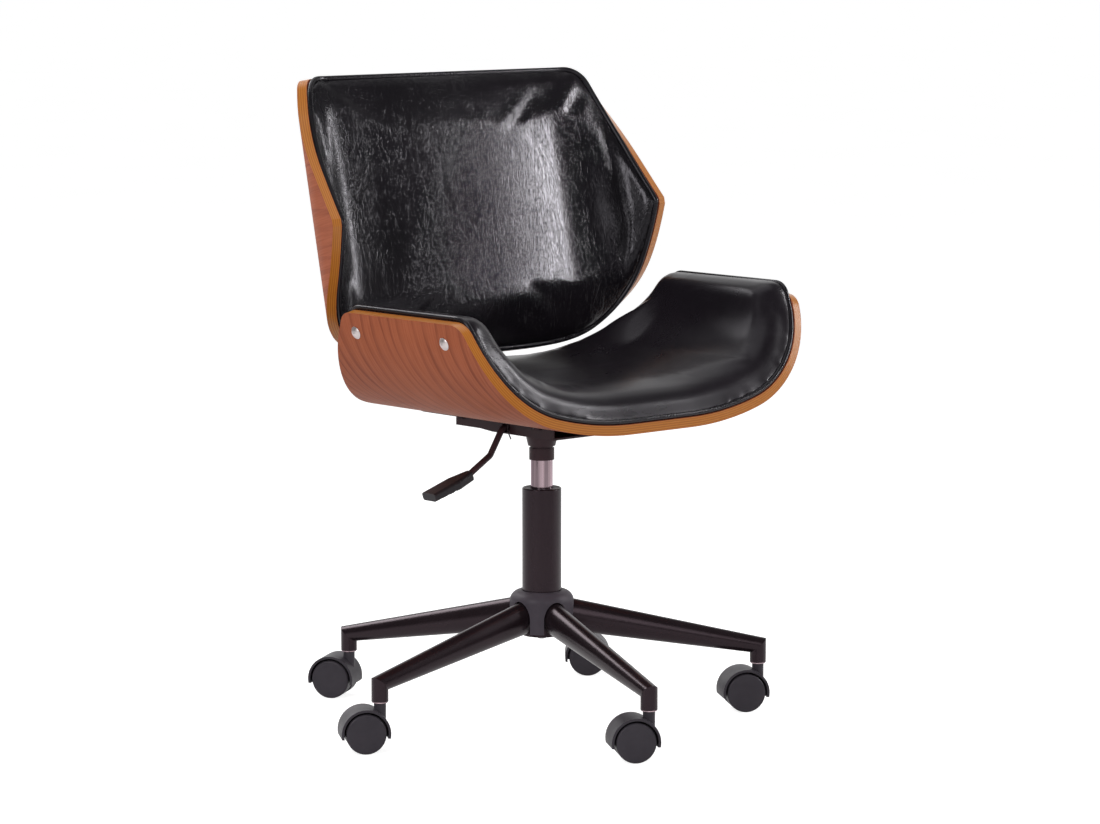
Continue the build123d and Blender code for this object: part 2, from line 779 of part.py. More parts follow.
def back_pad_band(stations, base):
    faces = []
    for side in stations:
        foot = back_lower(side) + pad_inset * slant(back_lower, side)
        head = back_upper(side) - pad_inset * slant(back_upper, side)
        head += (top_over + pad_inset) * min((kink_side - abs(side)) / (kink_side - top_half), 1)
        fade = min((head - foot) / (back_top - back_bottom) * 1.5, 1)
        edge = back_pad_edge * (0.55 + 0.45 * fade)
        crown = edge + (back_pad_crown - back_pad_edge) * fade
        place = partial(back_at, side)
        faces.append(cushion_face(place, foot, head, base - over, edge + over, crown + over))
    return loft(faces)


def back_pad():
    base = free_gap + board + seat_gap
    slab = back_slab(base, base + back_pad_crown + over)
    middle = slab & back_pad_band(mirrored(spread(0, top_half, 8)), base)
    side = slab & back_pad_band(spread(top_half, kink_side - 5 * pad_inset, 4), base)
    return middle + side + mirror(side, Plane.YZ)


# Bar that carries the back
def back_bar():
    half = bar_thick / 2
    low = back_at(0, bar_meet, -ply - half)
    high = back_at(0, bar_end, -ply - half)
    path = FilletPolyline((0, bar_start, bar_z), (0, bar_corner_y, bar_z), low, high, radius=bar_bend)
    bar = sweep(Plane(path @ 0, x_dir=(1, 0, 0), z_dir=path % 0) * Rectangle(bar_width, bar_thick), path)
    for place in back_bolt_spots():
        bar -= place * rod(bolt_dia, -bar_thick, 2 * bar_thick)
    for y in bar_anchor:
        bar -= Pos(0, y, 0) * rod(bolt_dia, bar_z - bar_thick, bar_z + bar_thick)
    return bar


def back_bolt_spots():
    # On the bar's rear face, each looking forward into the wood
    forward = back_at(0, 0, 1) - back_at(0, 0, 0)
    spots = []
    for up in bar_bolts_up:
        for x in (-bar_bolt_half, bar_bolt_half):
            spot = back_at(0, up, -ply - bar_thick) + Vector(x, 0, 0)
            spots.append(Plane(spot, x_dir=(1, 0, 0), z_dir=forward).location)
    return spots


def back_bolts():
    return [place * hex_bolt(bar_thick + bolt_bite) for place in back_bolt_spots()]


def save(name, solids):
    if not isinstance(solids, (list, tuple)):
        solids = [solids]
    shape = Compound(children=list(solids)) if len(solids) > 1 else solids[0]
    export_step(shape, f"parts/{name}.step")


os.makedirs("parts", exist_ok=True)
save("base_hub", base_hub())
save("hub_cover", hub_cover())
one_leg = leg()
one_sleeve = caster_sleeve()
for number, angle in enumerate(leg_angles, 1):
    save(f"leg_{number}", Rot(0, 0, angle) * one_leg)
save("caster_sleeves", [Rot(0, 0, angle) * one_sleeve for angle in leg_angles])
save("lift_tube", lift_tube())
save("guide_bush", guide_bush())
save("thrust_bearing", thrust_bearing())
save("upper_race", upper_race())
save("piston_rod", piston_rod())
save("rod_clip", rod_clip())
save("piston", piston())
save("gas_cylinder", gas_cylinder())
save("valve_pin", valve_pin())
save("column_socket", column_socket())
save("mechanism_pan", mechanism_pan())
save("mechanism_bolts", mechanism_bolts())
save("lever_rod", lever_rod())
save("lever_grip", lever_grip())
save("lever_clip", lever_clip())
save("lever_bracket", lever_bracket())
save("lever_pin", lever_pin())
save("seat_shell", seat_shell())
save("seat_board", seat_board())
save("seat_pad", seat_pad())
save("wing_screws", wing_screws())
save("back_bar", back_bar())
save("back_bolts", back_bolts())
save("back_shell", back_shell())
save("back_board", back_board())
save("back_pad", back_pad())
caster_pieces = {"caster_hood": caster_hood(), "caster_stem": caster_stem(), "caster_axle": caster_axle()}
wheel_pieces = {"left": wheel_body(-1), "right": wheel_body(1)}
for index in range(leg_count):
    for name, solid in caster_pieces.items():
        save(f"{name}_{index + 1}", at_caster(index, solid))
    for name, solid in wheel_pieces.items():
        save(f"wheel_{index + 1}_{name}", at_caster(index, solid))
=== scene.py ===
import bpy
import bmesh
import json
from math import atan2, cos, hypot, pi, radians, sin
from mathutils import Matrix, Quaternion, Vector


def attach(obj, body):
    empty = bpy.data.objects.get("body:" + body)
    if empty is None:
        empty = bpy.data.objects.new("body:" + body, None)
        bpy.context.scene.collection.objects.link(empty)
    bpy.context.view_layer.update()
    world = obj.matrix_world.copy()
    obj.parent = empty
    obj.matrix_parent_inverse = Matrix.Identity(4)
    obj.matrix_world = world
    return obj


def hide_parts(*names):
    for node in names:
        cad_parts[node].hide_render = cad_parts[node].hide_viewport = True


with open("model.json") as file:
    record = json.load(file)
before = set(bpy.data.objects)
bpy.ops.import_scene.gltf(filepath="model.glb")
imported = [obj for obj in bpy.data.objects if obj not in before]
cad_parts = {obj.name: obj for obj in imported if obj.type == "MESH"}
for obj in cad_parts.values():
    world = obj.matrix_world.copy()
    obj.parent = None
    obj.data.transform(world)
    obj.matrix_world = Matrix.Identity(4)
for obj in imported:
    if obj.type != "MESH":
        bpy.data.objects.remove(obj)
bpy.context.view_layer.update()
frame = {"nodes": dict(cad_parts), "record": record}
nodes = frame["nodes"]
scene = bpy.context.scene
print("frame loaded:", len(nodes), "nodes")


# bent sheets, in metres: each curve runs from the middle outwards, in lengths that are flat (None) or of one radius
seatForm = {
    "under": 0.3917, "ply": 0.0127,
    "curve": [(0.050, None), (0.123, 0.466), (0.168, 0.1545), (0.0270, None)], "half": 0.3553,
    "front": -0.221, "sweep": 0.050, "power": 4.0,
    "rearWing": 0.049, "rearSlope": 0.55, "tailRound": 0.043,
    "frontCorner": 0.027, "rearCorner": 0.020,
}
backForm = {
    "y": 0.1254, "z": 0.500, "lean": radians(12.2), "ply": 0.0127,
    "curve": [(0.194, None), (0.093, 0.069), (0.045, None)],
    "top": 0.3215, "topHalf": 0.232, "kinkSide": 0.323, "kinkUp": 0.130,
    "bottom": -0.0425, "bottomPower": 4.6, "hollow": 0.026, "padCorner": 0.040,
}
seatHalf = seatForm["half"]
outlineLook = {"merge": 0.0005, "arcSteps": 8, "leastSine": 0.05}


def bent(run, lift, curve):
    wide, rise, angle = 0.0, 0.0, 0.0
    for length, radius in curve:
        step = min(max(run, 0.0), length)
        run -= length
        if radius is None:
            wide += step * cos(angle)
            rise += step * sin(angle)
        else:
            turn = angle + step / radius
            wide += radius * (sin(turn) - sin(angle))
            rise += radius * (cos(angle) - cos(turn))
            angle = turn
    return wide - lift * sin(angle), rise + lift * cos(angle)


def flattened(wide, rise, curve):  # the way back: run and lift of a point near a bent sheet
    x0, z0, angle, start = 0.0, 0.0, 0.0, 0.0
    run, lift = wide, rise
    for length, radius in curve:
        dx, dz = wide - x0, rise - z0
        ahead = dx * cos(angle) + dz * sin(angle)
        above = dz * cos(angle) - dx * sin(angle)
        turn = angle if radius is None else angle + length / radius
        if ahead > 0 and radius is None:
            run, lift = start + ahead, above
        elif ahead > 0:
            run = start + atan2(ahead, radius - above) * radius
            lift = radius - hypot(ahead, radius - above)
        x0 += length * cos(angle) if radius is None else radius * (sin(turn) - sin(angle))
        z0 += length * sin(angle) if radius is None else radius * (cos(angle) - cos(turn))
        angle, start = turn, start + length
    return run, lift


def seatPoint(side, y, lift):  # lift is measured up from the shell's upper face
    wide, rise = bent(abs(side), lift + seatForm["ply"], seatForm["curve"])
    return Vector((wide if side >= 0 else -wide, y, seatForm["under"] + rise))


def backPoint(side, up, lift):  # lift is measured forward from the shell's front face
    wide, rise = bent(abs(side), lift, backForm["curve"])
    lean = backForm["lean"]
    y = backForm["y"] + up * sin(lean) - rise * cos(lean)
    return Vector((wide if side >= 0 else -wide, y, backForm["z"] + up * cos(lean) + rise * sin(lean)))


def frontEdge(side):
    return seatForm["front"] + seatForm["sweep"] * (abs(side) / seatHalf) ** seatForm["power"]


def rearEdge(side):
    return seatForm["rearWing"] + seatForm["rearSlope"] * (seatHalf - hypot(side, seatForm["tailRound"]))


def upperEdge(side, over):  # over: how far the pad stands past the wood's top edge
    f = backForm
    t = max(abs(side) - f["topHalf"], 0) / (f["kinkSide"] - f["topHalf"])
    return f["top"] + (f["kinkUp"] - f["top"]) * t - f["hollow"] * t * (1 - t) + over * (1 - t)


def lowerEdge(side):
    f = backForm
    return f["bottom"] + (f["kinkUp"] - f["bottom"]) * (abs(side) / f["kinkSide"]) ** f["bottomPower"]


def spaced(first, last, count):
    return [first + (last - first) * k / count for k in range(count + 1)]


def roundedCorners(points, corners):  # corners: index of the point and its radius
    out = []
    for k, point in enumerate(points):
        if k not in corners:
            out.append(point)
            continue
        radius = corners[k]
        before = (points[k - 1] - point).normalized()
        after = (points[(k + 1) % len(points)] - point).normalized()
        half = before.angle(after) / 2
        reach = radius / max(sin(half), outlineLook["leastSine"]) * cos(half)
        centre = point + (before + after).normalized() * radius / sin(half)
        start, end = point + before * reach, point + after * reach
        for share in spaced(0, 1, outlineLook["arcSteps"]):
            spoke = (start.lerp(end, share) - centre).normalized()
            out.append(centre + spoke * radius)
    return out


def thinned(points, gap):  # drops points that a corner's arc has overtaken
    out = [points[0]]
    for point in points[1:]:
        if (point - out[-1]).length > gap:
            out.append(point)
    return out


def evenly(points, count):  # the closed outline again, with points at one spacing
    ring = points + [points[0]]
    lengths = [0.0]
    for a, b in zip(ring, ring[1:]):
        lengths.append(lengths[-1] + (b - a).length)
    out, k = [], 0
    for j in range(count):
        want = lengths[-1] * j / count
        while lengths[k + 1] < want:
            k += 1
        share = (want - lengths[k]) / (lengths[k + 1] - lengths[k])
        out.append(ring[k].lerp(ring[k + 1], share))
    return out


def inset(points, depth):  # moves a closed anticlockwise outline inwards
    out = []
    for k, point in enumerate(points):
        along = (points[(k + 1) % len(points)] - points[k - 1]).normalized()
        out.append(point + Vector((-along.y, along.x)) * depth)
    return out


def seatOutline(count, over):  # over: how far the pad stands past the left and right wings' tops
    gap = 0.03
    low, high = -seatHalf - over[0], seatHalf + over[1]
    front = [Vector((s, frontEdge(s))) for s in spaced(low + gap, high - gap, 40)]
    rear = [Vector((s, rearEdge(s))) for s in spaced(high - gap, low + gap, 60)]
    points = front + [Vector((high, frontEdge(high))), Vector((high, rearEdge(high)))]
    points += rear + [Vector((low, rearEdge(low))), Vector((low, frontEdge(low)))]
    right = len(front)
    left = len(points) - 2
    corners = {right: seatForm["frontCorner"], right + 1: seatForm["rearCorner"],
               left: seatForm["rearCorner"], left + 1: seatForm["frontCorner"]}
    return evenly(thinned(roundedCorners(points, corners), outlineLook["merge"]), count)


def backOutline(count, over):
    f = backForm
    gap, tip, tipRound = 0.036, f["kinkSide"] - 0.001, 0.005
    nearTip, nearTop = 0.006, 0.016
    top = f["top"] + over
    foot = [Vector((s, lowerEdge(s))) for s in spaced(-tip + nearTip, tip - nearTip, 60)]
    side = [Vector((s, upperEdge(s, over))) for s in spaced(tip - nearTip, f["topHalf"] + nearTop, 12)]
    head = [Vector((s, top)) for s in spaced(f["topHalf"] - gap, gap - f["topHalf"], 20)]
    points = foot + [Vector((tip, f["kinkUp"]))] + side + [Vector((f["topHalf"], top))] + head
    points += [Vector((-f["topHalf"], top))] + [Vector((-p.x, p.y)) for p in reversed(side)]
    points += [Vector((-tip, f["kinkUp"]))]
    first = len(foot)
    second = first + len(side) + 1
    third = second + len(head) + 1
    corners = {first: tipRound, second: f["padCorner"], third: f["padCorner"], len(points) - 1: tipRound}
    return evenly(thinned(roundedCorners(points, corners), outlineLook["merge"]), count)


# shader helpers
def addNode(tree, kind, **values):
    node = tree.nodes.new(kind)
    for name, value in values.items():
        setattr(node, name, value)
    return node


def feed(tree, socket, value):
    if isinstance(value, bpy.types.NodeSocket):
        tree.links.new(value, socket)
    else:
        socket.default_value = value


def calc(tree, operation, a, b=0.0, clamp=False):
    node = addNode(tree, "ShaderNodeMath", operation=operation, use_clamp=clamp)
    feed(tree, node.inputs[0], a)
    feed(tree, node.inputs[1], b)
    return node.outputs[0]


def plus(tree, a, b, clamp=False):
    return calc(tree, "ADD", a, b, clamp)


def minus(tree, a, b):
    return calc(tree, "SUBTRACT", a, b)


def times(tree, a, b, clamp=False):
    return calc(tree, "MULTIPLY", a, b, clamp)


def axesOf(tree, vector):
    node = addNode(tree, "ShaderNodeSeparateXYZ")
    feed(tree, node.inputs[0], vector)
    return node.outputs


def joined(tree, x, y):
    node = addNode(tree, "ShaderNodeCombineXYZ")
    feed(tree, node.inputs[0], x)
    feed(tree, node.inputs[1], y)
    return node.outputs[0]


def rays(tree):  # the light path, and what a surface mirrors or lets through
    path = addNode(tree, "ShaderNodeLightPath").outputs
    return path, plus(tree, path["Is Glossy Ray"], path["Is Transmission Ray"], clamp=True)


def between(tree, value, low, high):  # a soft step from 0 at low to 1 at high
    node = addNode(tree, "ShaderNodeMapRange", interpolation_type="SMOOTHSTEP")
    feed(tree, node.inputs["Value"], value)
    feed(tree, node.inputs["From Min"], low)
    feed(tree, node.inputs["From Max"], high)
    return node.outputs["Result"]


def span(tree, value, low, high):  # 0..1 spread over low..high
    node = addNode(tree, "ShaderNodeMapRange")
    feed(tree, node.inputs["Value"], value)
    feed(tree, node.inputs["To Min"], low)
    feed(tree, node.inputs["To Max"], high)
    return node.outputs["Result"]


def pick(tree, factor, a, b):  # a where factor is 0, b where it is 1
    node = addNode(tree, "ShaderNodeMix", data_type="FLOAT")
    feed(tree, node.inputs[0], factor)
    feed(tree, node.inputs[2], a)
    feed(tree, node.inputs[3], b)
    return node.outputs[0]


def tint(tree, factor, a, b):
    node = addNode(tree, "ShaderNodeMix", data_type="RGBA")
    feed(tree, node.inputs[0], factor)
    feed(tree, node.inputs[6], a if isinstance(a, bpy.types.NodeSocket) else (*a, 1))
    feed(tree, node.inputs[7], b if isinstance(b, bpy.types.NodeSocket) else (*b, 1))
    return node.outputs[2]


def noiseOf(tree, vector, scale, detail=2.0, rough=0.5, distortion=0.0):
    node = addNode(tree, "ShaderNodeTexNoise")
    feed(tree, node.inputs["Vector"], vector)
    feed(tree, node.inputs["Scale"], scale)
    node.inputs["Detail"].default_value = detail
    node.inputs["Roughness"].default_value = rough
    node.inputs["Distortion"].default_value = distortion
    return node.outputs["Fac"]


def stretched(tree, vector, scale):
    node = addNode(tree, "ShaderNodeMapping")
    feed(tree, node.inputs["Vector"], vector)
    node.inputs["Scale"].default_value = scale
    return node.outputs["Vector"]


def newGroup(name, amounts, outs):  # a vector and named amounts go in, named amounts come out
    tree = bpy.data.node_groups.new(name, "ShaderNodeTree")
    tree.interface.new_socket("Vector", in_out="INPUT", socket_type="NodeSocketVector")
    for label, value in amounts.items():
        tree.interface.new_socket(label, in_out="INPUT", socket_type="NodeSocketFloat").default_value = value
    for label in outs:
        tree.interface.new_socket(label, in_out="OUTPUT", socket_type="NodeSocketFloat")
    start = tree.nodes.new("NodeGroupInput")
    end = tree.nodes.new("NodeGroupOutput")
    return tree, start.outputs, end.inputs


def placed(tree, group, **values):  # one use of a shared group
    node = addNode(tree, "ShaderNodeGroup", node_tree=group)
    for name, value in values.items():
        feed(tree, node.inputs[name], value)
    return node.outputs


def newFinish(name):
    finish = bpy.data.materials.new(name)
    finish.use_nodes = True
    tree = finish.node_tree
    shader = tree.nodes["Principled BSDF"]
    place = addNode(tree, "ShaderNodeTexCoord").outputs["Object"]
    return finish, tree, shader, place


def bump(tree, shader, height, strength, distance):
    node = addNode(tree, "ShaderNodeBump")
    node.inputs["Strength"].default_value = strength
    node.inputs["Distance"].default_value = distance
    feed(tree, node.inputs["Height"], height)
    feed(tree, shader.inputs["Normal"], node.outputs["Normal"])


# shared effects
creaseLook = {
    "patch": 9.0, "comes": (0.36, 0.62), "least": 0.45, "pebble": 0.03, "pebbleEdge": 0.22,
    "layers": ((1.0, 0.045, 0.7, 1.0), (1.9, 0.050, 1.2, 0.6), (3.3, 0.060, 0.5, 0.35)),  # scale, width, twist, depth
}
veneerLook = {
    "broad": (1.0, 0.22, 1.0), "patchy": (1.0, 0.4, 1.0), "long": (1.0, 0.035, 1.0), "sway": 0.085, "swayScale": 11.0,
    "late": (0.50, 0.94), "faint": (0.1, 1.3), "faintScale": 34.0, "streak": (0.3, 0.72), "streakScale": 420.0,
    "pore": (0.62, 0.74), "poreScale": 1500.0,
}


def mottleGroup():  # slow unevenness and the fine peel of a sprayed or moulded skin; drawn out on chrome, the slow unevenness carries painted reflection streaks
    tree, put, out = newGroup("mottle", {"Patch": 25.0, "Peel": 900.0}, ("Shade", "Skin"))
    slow = noiseOf(tree, put["Vector"], put["Patch"], detail=4.0, rough=0.55)
    feed(tree, out["Shade"], between(tree, slow, 0.3, 0.7))
    feed(tree, out["Skin"], noiseOf(tree, put["Vector"], put["Peel"]))
    return tree


def creaseGroup(look):  # crushed leather: a fine net of creases that comes and goes
    tree, put, out = newGroup("leather crease", {"Grain": 260.0, "Crush": 42.0}, ("Net", "Height", "Where"))
    patches = noiseOf(tree, put["Vector"], look["patch"], detail=3.0, rough=0.6)
    where = span(tree, between(tree, patches, *look["comes"]), look["least"], 1.0)
    net = 0.0
    for share, width, twist, depth in look["layers"]:
        field = noiseOf(tree, put["Vector"], times(tree, put["Crush"], share), distortion=twist)
        away = calc(tree, "ABSOLUTE", minus(tree, field, 0.5))
        line = minus(tree, depth, times(tree, between(tree, away, 0.0, width), depth))
        net = calc(tree, "MAXIMUM", net, line)
    cells = addNode(tree, "ShaderNodeTexVoronoi", feature="DISTANCE_TO_EDGE")
    feed(tree, cells.inputs["Vector"], put["Vector"])
    feed(tree, cells.inputs["Scale"], put["Grain"])
    pebble = between(tree, cells.outputs["Distance"], 0.0, look["pebbleEdge"])
    deep = times(tree, net, where)
    feed(tree, out["Net"], deep)
    feed(tree, out["Height"], minus(tree, times(tree, pebble, look["pebble"]), deep))
    feed(tree, out["Where"], where)
    return tree


def veneerGroup(look):  # X across the grain, Y along it
    tree, put, out = newGroup("veneer grain", {"Spacing": 0.012}, ("Figure", "Streak", "Pore"))
    broad, patchy, long = (stretched(tree, put["Vector"], look[name]) for name in ("broad", "patchy", "long"))
    sway = times(tree, noiseOf(tree, broad, look["swayScale"], detail=3.0), look["sway"])
    phase = calc(tree, "DIVIDE", plus(tree, axesOf(tree, put["Vector"])["X"], sway), put["Spacing"])
    year = calc(tree, "FRACT", phase)                     # slow to darken, quick to clear
    late = minus(tree, between(tree, year, *look["late"]), between(tree, year, look["late"][1], 1.0))
    faint = span(tree, noiseOf(tree, patchy, look["faintScale"]), *look["faint"])
    streak = noiseOf(tree, long, look["streakScale"], detail=3.0, rough=0.6, distortion=0.2)
    feed(tree, out["Figure"], times(tree, late, faint, clamp=True))
    feed(tree, out["Streak"], between(tree, streak, *look["streak"]))
    feed(tree, out["Pore"], between(tree, noiseOf(tree, long, look["poreScale"]), *look["pore"]))
    return tree


mottle = mottleGroup()
crease = creaseGroup(creaseLook)
veneer = veneerGroup(veneerLook)


def mottleShade(tree, place, patch):
    return placed(tree, mottle, Vector=place, Patch=patch)["Shade"]


# finishes
def sheetPlace(tree, wide, rise, curve):
    # how far along the bent sheet a point is, and how high above its lower face
    x0, z0, angle, start = 0.0, 0.0, 0.0, 0.0
    run, lift = wide, rise
    for length, radius in curve:
        dx = minus(tree, wide, x0)
        dz = minus(tree, rise, z0)
        ahead = plus(tree, times(tree, dx, cos(angle)), times(tree, dz, sin(angle)))
        above = minus(tree, times(tree, dz, cos(angle)), times(tree, dx, sin(angle)))
        if radius is None:
            hereRun, hereLift = ahead, above
            x0 += length * cos(angle)
            z0 += length * sin(angle)
        else:
            drop = minus(tree, radius, above)
            hereRun = times(tree, calc(tree, "ARCTAN2", ahead, drop), radius)
            far = calc(tree, "POWER", plus(tree, times(tree, ahead, ahead), times(tree, drop, drop)), 0.5)
            hereLift = minus(tree, radius, far)
            turn = angle + length / radius
            x0 += radius * (sin(turn) - sin(angle))
            z0 += radius * (cos(angle) - cos(turn))
            angle = turn
        inside = calc(tree, "GREATER_THAN", ahead, 0.0)
        run = pick(tree, inside, run, plus(tree, hereRun, start))
        lift = pick(tree, inside, lift, hereLift)
        start += length
    return run, lift


def walnutFinish(name, look, form, seat):
    finish, tree, shader, place = newFinish(name)
    axes = axesOf(tree, place)
    wide = calc(tree, "ABSOLUTE", axes["X"])
    if seat:
        rise = minus(tree, axes["Z"], form["under"])
        over = axes["Y"]
    else:
        lean = form["lean"]
        y = minus(tree, axes["Y"], form["y"])
        z = minus(tree, axes["Z"], form["z"])
        rise = minus(tree, times(tree, z, sin(lean)), times(tree, y, cos(lean)))
        over = plus(tree, times(tree, z, cos(lean)), times(tree, y, sin(lean)))
    run, lift = sheetPlace(tree, wide, rise, form["curve"])
    if not seat:
        lift = plus(tree, lift, form["ply"])
    sided = times(tree, run, calc(tree, "SIGN", axes["X"]))
    bow = minus(tree, calc(tree, "MAXIMUM", run, look["bowTo"]), look["bowFrom"])
    bow = times(tree, times(tree, bow, bow), look["bow"])  # the figure swings forward down the wing
    flat = joined(tree, plus(tree, over, bow), plus(tree, sided, look["shift"]))
    grain = placed(tree, veneer, Vector=flat, Spacing=look["spacing"])
    wood = tint(tree, grain["Figure"], look["light"], look["deep"])
    wood = tint(tree, times(tree, grain["Streak"], look["streak"]), wood, look["dark"])
    wood = tint(tree, times(tree, grain["Pore"], look["pore"]), wood, look["dark"])
    cover = mottleShade(tree, place, look["coverPatch"])
    wood = tint(tree, times(tree, cover, look["cover"]), wood, look["warm"])
    thin, thick = (look["face"] * share for share in look["faceEdge"])
    low = between(tree, lift, thin, thick)                # sawn edge: layers of birch between two face veneers
    high = between(tree, lift, form["ply"] - thick, form["ply"] - thin)
    edge = minus(tree, low, high)
    layer = calc(tree, "SINE", times(tree, lift, 2 * pi * look["layers"] / form["ply"]))
    sawn = joined(tree, plus(tree, run, over), times(tree, lift, look["sawn"]))
    fleck = noiseOf(tree, sawn, look["fleckScale"], detail=3.0, rough=0.6)
    band = between(tree, plus(tree, layer, times(tree, fleck, look["fleckMix"])), *look["band"])
    ply = tint(tree, band, look["plyDark"], look["plyLight"])
    ply = tint(tree, times(tree, between(tree, fleck, *look["fleck"]), look["fleckDeep"]), ply, look["plyDeep"])
    feed(tree, shader.inputs["Base Color"], tint(tree, edge, wood, ply))
    smooth = span(tree, grain["Streak"], *look["rough"])
    sawnRough = plus(tree, times(tree, fleck, look["fleckRough"]), look["edgeRough"])
    feed(tree, shader.inputs["Roughness"], pick(tree, edge, smooth, sawnRough))
    shader.inputs["Specular IOR Level"].default_value = look["specular"]
    feed(tree, shader.inputs["Coat Weight"], times(tree, edge, look["coat"]))
    shader.inputs["Coat Roughness"].default_value = look["coatRough"]
    relief = plus(tree, times(tree, grain["Pore"], look["poreLift"]), times(tree, grain["Streak"], look["streakLift"]))
    height = pick(tree, edge, relief, times(tree, layer, look["layerLift"]))
    bump(tree, shader, height, look["relief"], look["reliefDepth"])
    return finish


def skinFinish(name, look):
    # painted, moulded or plated pieces: two close colours, an uneven gloss and a fine peel; on chrome the two colours
    # are far apart and drawn into vertical streaks, a painted reflection of a dark room and bright strips
    look = {**plainSkin, **look}
    finish, tree, shader, place = newFinish(name)
    drawn = stretched(tree, place, look["stretch"])
    skin = placed(tree, mottle, Vector=drawn, Patch=look["patch"], Peel=look["peel"])
    # the colour between the two; on chrome this paints dark and bright reflection streaks
    feed(tree, shader.inputs["Base Color"], tint(tree, skin["Shade"], look["colour"], look["second"]))
    feed(tree, shader.inputs["Roughness"], span(tree, skin["Shade"], *look["rough"]))
    shader.inputs["Metallic"].default_value = look["metal"]
    shader.inputs["Specular IOR Level"].default_value = look["specular"]
    shader.inputs["Specular Tint"].default_value = (*look["sheen"], 1)
    bump(tree, shader, skin["Skin"], look["relief"], look["depth"])
    return finish


def leatherFinish(name, look):
    finish, tree, shader, place = newFinish(name)
    drawn = stretched(tree, place, look["stretch"])
    mark = placed(tree, crease, Vector=drawn, Grain=look["grain"], Crush=look["crush"])
    colour = tint(tree, mottleShade(tree, place, look["patch"]), look["colour"], look["second"])
    colour = tint(tree, times(tree, mark["Net"], look["worn"]), colour, look["rub"])
    feed(tree, shader.inputs["Base Color"], colour)
    gloss = span(tree, mark["Where"], *look["rough"])
    flange = between(tree, times(tree, axesOf(tree, place)["X"], -1.0), *look["flange"])
    gloss = plus(tree, gloss, times(tree, flange, look["dull"]))
    feed(tree, shader.inputs["Roughness"], plus(tree, gloss, times(tree, mark["Net"], look["netRough"])))
    shader.inputs["Specular IOR Level"].default_value = look["specular"]
    shader.inputs["Specular Tint"].default_value = (*look["sheen"], 1)
    bump(tree, shader, mark["Height"], look["relief"], look["deep"])
    return finish


walnutLook = {
    "light": (0.365, 0.098, 0.043), "deep": (0.205, 0.048, 0.022), "dark": (0.135, 0.032, 0.016),
    "warm": (0.410, 0.118, 0.050), "coverPatch": 7.0, "cover": 0.25,
    "streak": 0.36, "pore": 0.40, "rough": (0.50, 0.60), "specular": 0.13, "shift": 1.7, "spacing": 0.0195,
    "bow": 1.1, "bowFrom": 0.355, "bowTo": 0.14, "coat": 0.5, "coatRough": 0.22,
    "poreLift": -0.6, "streakLift": -0.3, "layerLift": 0.5, "relief": 0.12, "reliefDepth": 0.0004,
    "face": 0.0006, "faceEdge": (0.6, 1.2), "layers": 4.5, "sawn": 14.0, "edgeRough": 0.24,
    "fleckScale": 90.0, "fleckMix": 0.8, "fleck": (0.55, 0.75), "fleckDeep": 0.35, "fleckRough": 0.15,
    "band": (-0.6, 1.2),
    "plyLight": (0.47, 0.170, 0.025), "plyDark": (0.34, 0.106, 0.015), "plyDeep": (0.20, 0.058, 0.010),
}
backWalnutLook = {
    **walnutLook, "shift": 4.1, "bow": 0.6, "bowFrom": 0.30, "specular": 0.22, "deep": (0.262, 0.064, 0.029),
}
leatherLook = {
    "colour": (0.0046, 0.0040, 0.0052), "second": (0.0075, 0.0062, 0.0082), "patch": 6.0,
    "rub": (0.014, 0.012, 0.015), "worn": 0.25, "grain": 420.0, "crush": 84.0, "stretch": (1.0, 1.0, 0.45),
    "rough": (0.16, 0.19), "netRough": 0.05, "relief": 0.7, "deep": 0.00021,
    "specular": 0.36, "sheen": (0.96, 0.92, 1.0), "dull": 0.0, "flange": (0.13, 0.21),  # dull: on the left flange only
}
seatLeatherLook = {
    **leatherLook, "crush": 26.0, "stretch": (0.35, 1.0, 1.0), "relief": 0.10, "rough": (0.25, 0.30), "specular": 0.27,
    "colour": (0.0080, 0.0062, 0.0085), "second": (0.0120, 0.0092, 0.0125),
}
plainSkin = {"metal": 0.0, "specular": 0.5, "sheen": (1.0, 0.94, 1.0), "stretch": (1, 1, 1), "depth": 0.0003}
